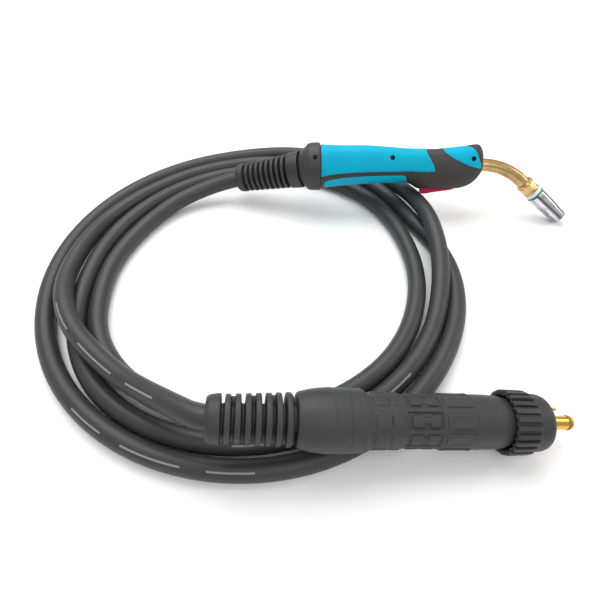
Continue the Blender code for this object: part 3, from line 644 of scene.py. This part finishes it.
def boot_skin(start, end, ribs, share, first, last, core, lead):
    """The ribs' profile, with the gaps' bottom at radius core and flanks that run over lead."""
    pitch = (end - start) / ribs
    profile = []
    for i in range(ribs):
        rear = start + pitch * i
        front = rear + pitch * share
        radius = first + (last - first) * i / (ribs - 1)
        profile += [(rear - lead, core), (rear, radius), (front, radius), (front + lead, core)]
    return profile


def bridges(gaps, reach, half_width, turned_by):
    """A shape function that joins the ribs at one side of each gap, and of every second gap at
    two sides."""

    fade = 0.12

    def shape(angle, along, radius):
        for i, (low, high, top) in enumerate(gaps):
            if low < along < high:
                period = math.pi if i % 2 else 2 * math.pi
                off = abs((angle - math.radians(turned_by) + period / 2) % period - period / 2)
                share = 1 - ease(half_width, half_width + fade, off)
                return radius + (top - reach - radius) * share
        return radius

    return shape


def gap_list(start, end, ribs, share, first, last):
    """Where each gap behind a rib starts and ends, and the radius of the rib."""
    pitch = (end - start) / ribs
    gaps = []
    for i in range(ribs):
        radius = first + (last - first) * i / (ribs - 1)
        gaps.append((start + pitch * (i + share) + 0.05, start + pitch * (i + 1) - 0.05, radius))
    return gaps


def make_torch_boot():
    """The boot behind the gun, whose front is hollowed to clear the collar's dome."""
    hollow = 29.3
    turns = [math.radians(d) for d in (44, 38, 32, 25, 18.5)]
    rim = [(hollow * math.cos(a), hollow * math.sin(a)) for a in turns]
    outer = [(21.4, 20.5), (22.4, 21.0), (30.0, 20.4), (35.0, 19.9), (35.6, 11.0)]
    outer += boot_skin(*TORCH_RIBS, core=11.0, lead=0.45)
    outer += [(91.0, 11.0), (91.5, 16.4), (97.0, 16.2), (100.2, 15.2), (BOOT_END, 12.5)]
    inner = [(BOOT_END, BOOT_BORE), (30.0, BOOT_BORE)] + list(reversed(rim))[:-1]
    profile = rounded(outer, 0.7) + inner
    gaps = [(35.7, 38.0, 19.6)] + gap_list(*TORCH_RIBS)
    joined = bridges(gaps, reach=1.6, half_width=0.3, turned_by=205)
    turned(
        "torch_boot_ribs", profile, BOOT, BOOT_RUBBER, "cable_set", ["torch_boot"], 72, shape=joined
    )


def make_plug_boot():
    front = PLUG_BOOT_LENGTH - 0.2
    outer = [(-1.0, 12.5), (-0.6, 15.4), (2.0, 16.9), (8.4, 17.8), (9.6, 17.4), (9.8, 10.8)]
    outer += boot_skin(*PLUG_RIBS, core=10.8, lead=0.5)
    outer += [(front, 10.8)]
    inner = [(front, BOOT_BORE), (-1.0, BOOT_BORE)]
    profile = rounded(outer, 0.9) + inner
    gaps = [(9.7, 11.7, 17.4)] + gap_list(*PLUG_RIBS)
    joined = bridges(gaps, reach=1.6, half_width=0.3, turned_by=285)
    turned(
        "plug_boot_ribs", profile, PLUG, BOOT_RUBBER, "cable_set", ["plug_boot"], 72, shape=joined
    )


# Plug --------------------------------------------------------------------


def make_plug_shell():
    start = PLUG_BOOT_LENGTH

    def shape(angle, along, radius):
        """Two grooves, a step and two seams on the outer skin."""
        place = along - start
        rings = sum(1 - ease(0.0, 0.5, abs(place - ring)) for ring in (25.0, 36.5))
        step = 0.25 * ease(25.0, 26.0, place)
        seam = 1 - ease(0.0, 0.03, abs(math.sin(angle)))
        return radius - (0.3 * rings + 0.25 * seam + step) * (radius > 18)

    outline = [
        (start, 18.6),
        (start + 0.8, 19.6),
        (start + 5, 20.9),
        (start + 12, 22.3),
        (start + 20, 23.2),
        (start + 28, 23.5),
        (start + 36, 23.4),
        (start + 44, 23.0),
        (FLARE_END - 1.2, 22.8),
        (FLARE_END, 22.0),
    ]
    profile = smooth_profile(outline, 150) + [(FLARE_END, 17.5), (start + 6, 17.5), (start, 9.4)]
    nodes = ["plug_rear_shell"]
    turned("plug_rear_cover", profile, PLUG, PLUG_PLASTIC, "cable_set", nodes, 96, shape=shape)


# Raised and sunken fields round the grip, repeated in each sector: first and last place along the
# plug, how wide each is as a share of its sector, and the height of its surface
GRIP_FIELDS = [
    (116.5, 127.0, 0.66, 0.9),
    (128.5, 137.0, 0.52, 0.7),
    (139.5, 165.5, 0.80, -1.2),
    (142.5, 150.5, 0.56, 1.3),
    (150.5, 155.5, 0.26, 1.1),
    (155.5, 163.0, 0.56, 1.3),
    (168.5, 190.5, 0.70, 1.0),
    (172.0, 187.0, 0.34, -0.5),
]

GRIP_SECTORS = 8
GRIP_TURN = math.radians(26)


def grip_shape(angle, along, radius):
    """The grip's fields and its two seams, on the outer skin only."""
    if radius < 17.2:
        return radius
    sector = 2 * math.pi / GRIP_SECTORS
    off = abs((angle - GRIP_TURN + sector / 2) % sector - sector / 2) / (sector / 2)
    for low, high, width, height in GRIP_FIELDS:
        across = 1 - ease(width - 0.05, width + 0.05, off)
        lengthwise = ease(low - 0.5, low + 0.5, along) * (1 - ease(high - 0.5, high + 0.5, along))
        radius += height * across * lengthwise
    seam = abs(math.cos(angle))
    return radius - 0.3 * (1 - ease(0.0, 0.022, seam))


def make_plug_housing():
    start, end = FLARE_END + 0.5, GRIP_END + 19.0
    outline = [
        (start, 20.2),
        (start + 1.4, 20.1),
        (start + 3.2, 19.9),
        (150.0, 19.9),
        (188.0, 19.8),
        (192.0, 20.2),
        (205.0, 20.1),
        (213.0, 19.6),
        (218.0, 18.9),
        (end, 18.0),
    ]
    profile = smooth_profile(outline, 210) + [(end, 16.5), (start, 16.5)]
    nodes = ["plug_housing"]
    turned("plug_grip", profile, PLUG, PLUG_PLASTIC, "cable_set", nodes, 192, shape=grip_shape)


def nut_shape(angle, along, radius):
    """Ribs round the skirt that stop short of the smooth nose."""
    place = along - ADAPTOR_START
    if radius < 21.0 or place > 19.6:
        return radius
    rib = ease(0.22, 0.5, 0.5 - 0.5 * math.cos(NUT_RIBS * angle))
    skirt = ease(-0.5, 0.5, place) * (1 - ease(18.0, 19.5, place))
    return radius + (2.3 * rib - 1.3) * skirt


def make_hand_nut():
    start, end = ADAPTOR_START, ADAPTOR_END
    outline = [
        (0.0, 22.6),
        (1.0, 23.3),
        (9.0, 23.2),
        (17.5, 22.9),
        (18.6, 22.2),
        (19.4, 21.8),
        (25.0, 21.6),
        (28.5, 21.2),
        (31.2, 20.1),
        (32.9, 18.4),
        (33.7, 16.6),
    ]
    profile = [(start + a, radius) for a, radius in smooth_profile(outline, 101)]
    profile += [(end, 15.5), (start + 29, 15.5), (start + 27.5, 17.0), (start + 12, 17.0)]
    profile += [(start + 12, 18.9), (start + 3, 19.0), (start + 0.5, 20.8), (start, 21.3)]
    nodes = ["adaptor_nut"]
    turned("hand_nut_ribs", profile, PLUG, NUT_PLASTIC, "hand_nut", nodes, 288, shape=nut_shape)


def make_nipple():
    """The gas nipple with its seal in a groove, and the two control pins above it."""
    groove = NIPPLE_END - 5.0
    flange = ADAPTOR_END + 1
    outer = [(FLARE_END, 5.0), (flange, 5.0), (flange, 6.0), (ADAPTOR_END + 2.2, 6.0)]
    outer += [(ADAPTOR_END + 2.2, 5.5), (groove, 5.5), (groove, 4.6), (groove + 2.2, 4.6)]
    outer += [(groove + 2.2, 5.5), (NIPPLE_END - 1.6, 5.5)]
    outer += [(NIPPLE_END - 0.4, 4.7), (NIPPLE_END, 3.4)]
    inner = [(NIPPLE_END, 2.0), (FLARE_END, 2.0)]
    profile = rounded(outer, 0.4) + inner
    turned("nipple_tube", profile, PLUG, GOLD, "cable_set", ["gas_nipple"], 48)
    ring = [
        (groove + 1.1 + 0.85 * math.cos(a), 5.15 + 0.75 * math.sin(a)) for a in spread(0, 6.0, 14)
    ]
    turned("nipple_seal", ring, PLUG, AMBER, "cable_set", ["nipple_o_ring"], 40)
    rear, tip = ADAPTOR_END - 14, ADAPTOR_END + 11.5
    pin = rounded([(rear, 0.2), (rear, 1.3), (tip - 0.9, 1.3), (tip - 0.1, 0.8), (tip, 0.2)], 0.4)
    for i, angle in enumerate(PIN_ANGLES):
        sleeve = PLUG @ turn("Z", angle) @ Matrix.Translation((PIN_CIRCLE, 0, 0))
        name = f"pin_{i + 1}"
        turned(name, pin, sleeve, GOLD, f"contact_{name}", [f"control_{name}"], 24, hollow=False)


# Handle ------------------------------------------------------------------

# Distance from the ball, then the section's height above and below the axis and its half width
HANDLE_SECTIONS = [
    (HANDLE_START, 24.6, 24.4, 22.5),
    (12.0, 24.0, 23.0, 21.5),
    (30.0, 23.3, 21.4, 19.5),
    (55.0, 22.9, 20.0, 18.0),
    (80.0, 21.0, 19.3, 17.5),
    (100.0, 19.2, 19.2, 17.5),
    (108.0, 18.9, 22.0, 17.8),
    (115.0, 18.7, 26.0, 18.0),
    (135.0, 18.6, 27.2, 18.2),
    (157.0, 20.2, 26.8, 18.2),
    (168.0, 21.6, 24.8, 17.8),
    (176.0, 22.8, 20.8, 16.8),
    (181.0, 22.4, 16.0, 15.0),
    (184.5, 18.0, 11.0, 12.0),
    (HANDLE_END, 12.5, 9.2, 10.0),
]
SIDES = ((-1, "right"), (1, "left"))

# Panel edges: (x, angle) rows, with angles counted as in section_point
UPPER_LOW = [
    (1.7, -22),
    (12.0, -17.5),
    (30.0, -15),
    (60.0, -13.5),
    (100.0, -13.5),
    (108.0, -11.5),
    (132.0, -9),
]
UPPER_HIGH = [(1.7, 90), (190.0, 90)]
UPPER_ENDS = [131.0, 126.0, 122.5, 121.0, 121.5, 122.0]
LOWER_LOW = [(1.7, -90), (190.0, -90)]
LOWER_HIGH = [(5.0, -41), (12.0, -34.5), (30.0, -29.5), (60.0, -27.5), (93.0, -28), (100.0, -32)]
FRONT_LOW = [(140.0, 52), (144.0, 35), (151.0, 17), (163.0, 2), (174.0, -3), (180.0, -8)]
FRONT_HIGH = [
    (140.0, 90),
    (160.0, 90),
    (166.0, 78),
    (170.0, 62),
    (174.0, 42),
    (177.0, 24),
    (180.0, 4),
]

# Each panel: its rear and front ends from bottom to top, its lower and upper edges, and whether
# its upper edge is rounded off (the upper ones meet on the handle's back instead)
PANELS = {
    "upper": ([2.0, 2.0], UPPER_ENDS, UPPER_LOW, UPPER_HIGH, False),
    "lower": ([9.0, 5.5, 6.0], [101.0, 101.0, 98.0], LOWER_LOW, LOWER_HIGH, True),
    "front": ([140.0, 140.0], [182.0, 182.0], FRONT_LOW, FRONT_HIGH, True),
}
PANEL_DEPTH = 1.5
EDGE_SINKS = (0.55, 0.2, 0.05, 0.0)

# Screw holes on the right side: distance from the ball, height, and the panel they go through
SCREW_HOLES = ((82.0, 9.4, "upper"), (172.0, 7.2, "front"))
SCREW_HOLE_RADIUS = 2.7
TRIGGER_SLOT = ((117.8, -7.6, -40), (160.0, 7.6, -20))

COLLAR_OUTSIDE, COLLAR_INSIDE = 27.2, 18.2
COLLAR_OPENING = 13.2
COLLAR_HOLE_RADIUS = 2.5


def section_point(x, angle, inset, side):
    """A point of the handle's section, at an angle from -90 at the bottom to 90 at the top."""
    top, bottom, half = smooth(HANDLE_SECTIONS, x)
    rise = math.sin(math.radians(angle))
    reach = math.cos(math.radians(angle))
    height = (top if rise > 0 else bottom) - inset
    power = 2 / SECTION_POWER
    z = math.copysign(height * abs(rise) ** power, rise)
    y = side * ((half - inset) * abs(max(reach, 0.0)) ** power + 0.1)
    return Vector((x, y, z))


def patch_mesh(name, grid_outer, grid_inner):
    """A closed skin from an outer and an inner grid of points of the same size."""
    columns, rows = len(grid_outer), len(grid_outer[0])
    both = grid_outer + grid_inner
    points = [HANDLE @ point * MM for column in both for point in column]
    inner = columns * rows
    faces = []
    for i in range(columns - 1):
        for j in range(rows - 1):
            a, b = i * rows + j, (i + 1) * rows + j
            faces.append((a, b, b + 1, a + 1))
            faces.append((inner + a, inner + a + 1, inner + b + 1, inner + b))
        for j in (0, rows - 1):
            a, b = i * rows + j, (i + 1) * rows + j
            faces.append((a, b, inner + b, inner + a))
    for i in (0, columns - 1):
        for j in range(rows - 1):
            a = i * rows + j
            faces.append((a, a + 1, inner + a + 1, inner + a))
    mesh = bpy.data.meshes.new(name)
    mesh.from_pydata(points, [], faces)
    shape = bmesh.new()
    shape.from_mesh(mesh)
    bmesh.ops.recalc_face_normals(shape, faces=shape.faces)
    shape.to_mesh(mesh)
    shape.free()
    return mesh


def edged(count, edge):
    """Shares from 0 to 1, with extra ones close to both ends for a rounded edge."""
    near = [0.0, edge * 0.25, edge * 0.6, edge]
    middle = [edge + (1 - 2 * edge) * i / count for i in range(1, count)]
    return near + middle + [1 - share for share in reversed(near)]


def make_panel(side, word, place):
    """One cyan panel, as a skin over the handle whose edges sink into it."""
    starts, ends, low, high, round_top = PANELS[place]

    def across(values, share):
        spread_values = [(i / (len(values) - 1), value) for i, value in enumerate(values)]
        return smooth(spread_values, share)[0]

    shares_x, shares_a = edged(80, 0.012), edged(28, 0.035)
    outer, inner = [], []
    for i, along in enumerate(shares_x):
        outer_column, inner_column = [], []
        for j, share in enumerate(shares_a):
            rear, front = across(starts, share), across(ends, share)
            x = rear + (front - rear) * along
            bottom_angle, top_angle = smooth(low, x)[0], smooth(high, x)[0]
            angle = min(bottom_angle + (top_angle - bottom_angle) * share, 90)
            last = len(EDGE_SINKS) - 1
            to_top = last if not round_top and share > 0.5 else len(shares_a) - 1 - j
            steps = min(i, len(shares_x) - 1 - i, j, to_top, last)
            outer_column.append(section_point(x, angle, EDGE_SINKS[steps], side))
            inner_column.append(section_point(x, angle, PANEL_DEPTH, side))
        outer.append(outer_column)
        inner.append(inner_column)
    name = f"cyan_{place}_{word}"
    mesh = patch_mesh(name, outer, inner)
    nodes = [f"grip_panel_{place}_{word}"]
    return finish_piece(name, mesh, CYAN, "torch", nodes, sharp=50)


def make_shell(side, word):
    """Half of the handle's charcoal body."""
    xs = spread(HANDLE_START, 176.0, 110) + spread(176.5, 184.0, 15) + spread(184.2, HANDLE_END, 8)
    angles = spread(-90, 90, 60)
    outer, inner = [], []
    for x in xs:
        rear_drop = 0.5 * (1 - ease(HANDLE_START, HANDLE_START + 0.9, x))
        end_drop = rear_drop + 0.6 * ease(HANDLE_END - 0.8, HANDLE_END, x)
        outer_column, inner_column = [], []
        for angle in angles:
            seam = 0.3 * (1 - ease(0.0, 3.0, 90 - abs(angle)))
            outer_column.append(section_point(x, angle, SHELL_INSET + seam + end_drop, side))
            inner_column.append(inner_point(x, angle, side))
        outer.append(outer_column)
        inner.append(inner_column)
    name = f"handle_body_{word}"
    mesh = patch_mesh(name, outer, inner)
    nodes = [f"handle_shell_{word}"]
    return finish_piece(name, mesh, CHARCOAL, "torch", nodes, sharp=40)


def inner_point(x, angle, side):
    """The inner skin: the outer one set in, then a round hole for the neck at the nose."""
    hole = NECK_RADIUS + 0.25
    skin = section_point(x, angle, 3.9, side)
    a = math.radians(angle)
    bore = Vector((x, side * (hole * math.cos(a) + 0.1), hole * math.sin(a)))
    return skin.lerp(bore, ease(180.0, 183.0, x))


def make_handle():
    """The panels and both halves of the body, with the trigger's slot and the screw holes cut."""
    panels = {}
    for side, word in SIDES:
        for place in PANELS:
            panels[word, place] = make_panel(side, word, place)
    shells = {word: make_shell(side, word) for side, word in SIDES}
    slot = box_cutter(HANDLE, *TRIGGER_SLOT)
    for shell in shells.values():
        cut(shell, slot)
    remove(slot)
    for x, z, place in SCREW_HOLES:
        hole = rod_cutter(HANDLE, (x, -40, z), (x, -11.0, z), SCREW_HOLE_RADIUS)
        for piece in (shells["right"], panels["right", place]):
            cut(piece, hole)
        remove(hole)


def dome(radius, low, high):
    """A curve about the ball's centre, on its rear side, between two angles from the axis."""
    angles = [math.radians(d) for d in spread(low, high, 12)]
    return [(-radius * math.cos(a), radius * math.sin(a)) for a in angles]


def make_collar():
    """The domed ring round the ball, open at the rear for the boot."""
    outer = dome(COLLAR_OUTSIDE, 20, 56)
    shoulder = [(-14.4, 24.1), (-12.6, 25.6), (-10.4, 26.4), (-7.5, 26.6)]
    shoulder += [(-0.6, 26.7), (1.1, 26.2), (1.4, 24.6)]
    inner = [(1.4, COLLAR_INSIDE + 0.1)] + dome(COLLAR_INSIDE, 88, 30)
    profile = outer + rounded([outer[-1]] + shoulder, 0.6)[1:] + inner
    piece = turned("collar_ring", profile, HANDLE_AXIS, CHARCOAL, "torch", ["rear_collar"], 96)
    opening = rod_cutter(BOOT, (0, 0, 4), (0, 0, 45), COLLAR_OPENING)
    hole = rod_cutter(HANDLE, (-4.6, -40, 11), (-4.6, -18.8, 11), COLLAR_HOLE_RADIUS)
    cut(piece, opening)
    cut(piece, hole)
    remove(opening, hole)


# Trigger, neck and nozzle ------------------------------------------------


def make_trigger():
    """A crimson wedge with softly rounded edges and a ribbed finger face."""
    face = [
        (119.2, -30.6),
        (120.5, -31.6),
        (124.0, -31.6),
        (132.0, -30.3),
        (142.0, -28.9),
        (152.0, -27.6),
        (158.6, -25.6),
    ]
    half, rib_pitch = 6.9, 2.6
    sections = []
    for x, bottom in smooth_profile(face, 60):
        top = -18.6 if 131 < x < 151 else -19.8
        bottom += 0.25 * (0.5 - 0.5 * math.cos(2 * math.pi * x / rib_pitch)) * (121 < x < 146)
        corners = [(-half, top), (-half, bottom + 1.6)]
        corners += [(-half + 0.5, bottom + 0.6), (-half + 1.6, bottom)]
        ring = corners + [(-y, z) for y, z in reversed(corners)]
        sections.append([Vector((x, y, z)) for y, z in ring])
    mesh = loft("trigger_blade", sections, HANDLE)
    finish_piece("trigger_blade", mesh, CRIMSON, "trigger", ["trigger"])


def ring_at(matrix, radius, sides, flats=0):
    """A ring of points across a frame; with flats, an even polygon with rounded corners."""
    ring = []
    for i in range(sides):
        angle = 2 * math.pi * i / sides
        reach = radius
        if flats:
            sector = 2 * math.pi / flats
            off = (angle + sector / 2) % sector - sector / 2
            reach = min(radius * math.cos(sector / 2) / math.cos(off), radius * 0.985)
        ring.append(matrix @ Vector((reach * math.cos(angle), reach * math.sin(angle), 0)))
    return ring


def make_neck():
    """The curved neck tube and the hexagonal nut at its end."""
    distances = spread(-30.0, 0.0, 6) + spread(1.0, NUT_START + 6, 64)
    rings = [ring_at(neck_frame(d), NECK_RADIUS, 48) for d in distances]
    mesh = loft("neck_tube", rings, Matrix.Identity(4))
    finish_piece("neck_tube", mesh, BRASS, "torch", ["swan_neck"])
    start, end = NUT_START, NUT_END
    nut = [(start, 8.0), (start + 0.2, 8.9), (start + 3.0, 9.4), (start + 3.4, 8.9)]
    nut += [(start + 3.9, 8.9), (start + 4.3, 9.9), (end - 3.6, 9.9), (end - 3.2, 8.8)]
    nut += [(end - 2.7, 8.8), (end - 2.4, 9.3), (end - 0.5, 9.3), (end - 0.2, 8.5)]
    rings = [ring_at(neck_frame(d), r, 96, 6 if r > 9.5 else 0) for d, r in nut]
    mesh = loft("neck_hex_nut", rings, Matrix.Identity(4))
    finish_piece("neck_hex_nut", mesh, BRASS, "torch", ["neck_nut"], sharp=24)


def make_nozzle():
    """The white ring, the green seal, the gas nozzle and the contact tip inside it."""
    white = [(0.0, 8.2), (0.3, 9.0), (2.0, 9.4), (4.2, 9.4), (4.2, 7.3), (0.0, 7.3)]
    turned("white_ring", white, neck_frame(NUT_END), WHITE, "torch", ["insulator_ring"], 64)
    green = [(0.0, 9.3), (0.2, 9.8), (1.4, 9.9), (1.7, 9.5), (1.7, 7.3), (0.0, 7.3)]
    turned("green_ring", green, neck_frame(RING_END), GREEN, "torch", ["insulator_seal"], 64)
    length = NOZZLE_END - SEAL_END
    outer = [(0.0, 9.2), (0.5, 9.7), (1.5, 9.75), (length * 0.35, 9.6), (length * 0.6, 9.1)]
    outer += [(length * 0.88, 8.2), (length - 1.2, 8.05), (length - 0.3, 7.85), (length, 7.4)]
    inner = [(length, 6.9), (length - 3, 6.6), (length * 0.4, 7.2), (0.0, 7.3)]
    place = neck_frame(SEAL_END)
    profile = rounded(outer, 1.0) + inner
    turned("nozzle_cone", profile, place, CHROME, "nozzle", ["gas_nozzle"], 96)
    tip = [(18.3, 4.0), (29.0, 4.0), (31.0, 3.6), (length - 4.0, 2.6), (length - 2.6, 2.1)]
    tip += [(length - 2.5, 0.9), (18.3, 0.9)]
    turned("contact_tip_fine", tip, place, COPPER, "torch", ["contact_tip"], 32)


def recolour(material, *nodes):
    """Give CAD nodes that are shown as they are a fine material."""
    for node in nodes:
        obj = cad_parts[node]
        obj.data.materials.clear()
        obj.data.materials.append(material)


# Everything --------------------------------------------------------------

JACKET = cable_jacket()
BOOT_RUBBER = moulded(
    "boot_rubber",
    (0.027, 0.027, 0.027),
    (0.038, 0.038, 0.039),
    roughness=0.5,
    grain=1600.0,
    bump=0.18,
    gloss=0.4,
    edge_wear_and_highlight=0.3,
)
CHARCOAL = moulded(
    "charcoal_overmould",
    (0.034, 0.032, 0.031),
    (0.044, 0.041, 0.039),
    roughness=0.5,
    grain=2400.0,
    bump=0.3,
    gloss=0.35,
    edge_wear_and_highlight=0.25,
)
PLUG_PLASTIC = moulded(
    "plug_plastic_grain",
    (0.03, 0.03, 0.03),
    (0.04, 0.04, 0.041),
    roughness=0.5,
    grain=2000.0,
    bump=0.3,
    gloss=0.4,
    edge_wear_and_highlight=0.3,
)
NUT_PLASTIC = moulded(
    "nut_plastic_grain",
    (0.026, 0.026, 0.026),
    (0.036, 0.036, 0.036),
    roughness=0.48,
    grain=2000.0,
    bump=0.25,
    gloss=0.4,
    edge_wear_and_highlight=0.3,
)
CYAN = moulded(
    "cyan_moulding",
    (0.0, 0.36, 0.54),
    (0.0, 0.41, 0.6),
    roughness=0.45,
    grain=3000.0,
    bump=0.15,
    gloss=0.12,
    edge_wear_and_highlight=0.05,
)
CRIMSON = moulded(
    "crimson_moulding",
    (0.42, 0.004, 0.035),
    (0.5, 0.008, 0.045),
    roughness=0.42,
    grain=3000.0,
    bump=0.15,
    gloss=0.2,
    edge_wear_and_highlight=0.1,
)
BLACK = moulded(
    "black_nylon",
    (0.012, 0.012, 0.012),
    (0.02, 0.02, 0.02),
    roughness=0.5,
    grain=2500.0,
    bump=0.15,
    gloss=0.3,
    edge_wear_and_highlight=0.1,
)
AMBER = moulded(
    "amber_rubber",
    (0.3, 0.15, 0.03),
    (0.36, 0.19, 0.05),
    roughness=0.4,
    grain=2500.0,
    bump=0.15,
    gloss=0.3,
    edge_wear_and_highlight=0.1,
)
WHITE = moulded(
    "white_ceramic",
    (0.7, 0.7, 0.68),
    (0.78, 0.78, 0.76),
    roughness=0.3,
    grain=2500.0,
    bump=0.08,
    gloss=0.5,
    edge_wear_and_highlight=0.0,
)
GREEN = moulded(
    "green_insulation",
    (0.005, 0.17, 0.12),
    (0.01, 0.22, 0.15),
    roughness=0.35,
    grain=2500.0,
    bump=0.08,
    gloss=0.3,
    edge_wear_and_highlight=0.0,
)
BRASS = turned_metal(
    "brushed_brass",
    (0.6, 0.42, 0.2),
    (0.25, 0.15, 0.05),
    roughness=0.27,
    along=12.0,
    around=26.0,
    bump=0.15,
)
GOLD = turned_metal(
    "gold_plating",
    (0.7, 0.46, 0.1),
    (0.45, 0.27, 0.05),
    roughness=0.2,
    along=900.0,
    around=2.0,
    bump=0.1,
)
COPPER = turned_metal(
    "turned_copper",
    (0.7, 0.33, 0.18),
    (0.4, 0.17, 0.08),
    roughness=0.3,
    along=900.0,
    around=2.0,
    bump=0.12,
)
# The strong dark streaks round the nozzle are painted reflections of darker surroundings.
CHROME = turned_metal(
    "nickel_chrome",
    (0.66, 0.66, 0.68),
    (0.1, 0.1, 0.105),
    roughness=0.14,
    along=4.0,
    around=12.0,
    bump=0.03,
    streak=(0.85, 0.5, 0.6),
)
STEEL = turned_metal(
    "zinc_steel",
    (0.35, 0.35, 0.36),
    (0.2, 0.2, 0.21),
    roughness=0.35,
    along=700.0,
    around=3.0,
    bump=0.1,
)
DARK_STEEL = turned_metal(
    "black_screw_steel",
    (0.035, 0.035, 0.036),
    (0.015, 0.015, 0.015),
    roughness=0.4,
    along=700.0,
    around=3.0,
    bump=0.1,
)

make_stage()
cable_piece, cable_axis = make_cable()
make_torch_boot()
make_plug_boot()
make_plug_shell()
make_plug_housing()
make_hand_nut()
make_nipple()
make_handle()
make_collar()
make_trigger()
make_neck()
make_nozzle()
recolour(BLACK, "swivel_ball", "ball_socket_liner", "wire_liner", "micro_switch")
recolour(BLACK, "pin_sleeve_1", "pin_sleeve_2")
recolour(BRASS, "plug_core", "tip_holder", "neck_clamp_block")
recolour(COPPER, "cable_crimp", "handle_power_lead")
recolour(STEEL, "plug_screw_1", "plug_screw_2", "trigger_pin")
recolour(DARK_STEEL, "handle_screw", "neck_lock_screw", "collar_screw")
recolour(CRIMSON, "switch_plunger")
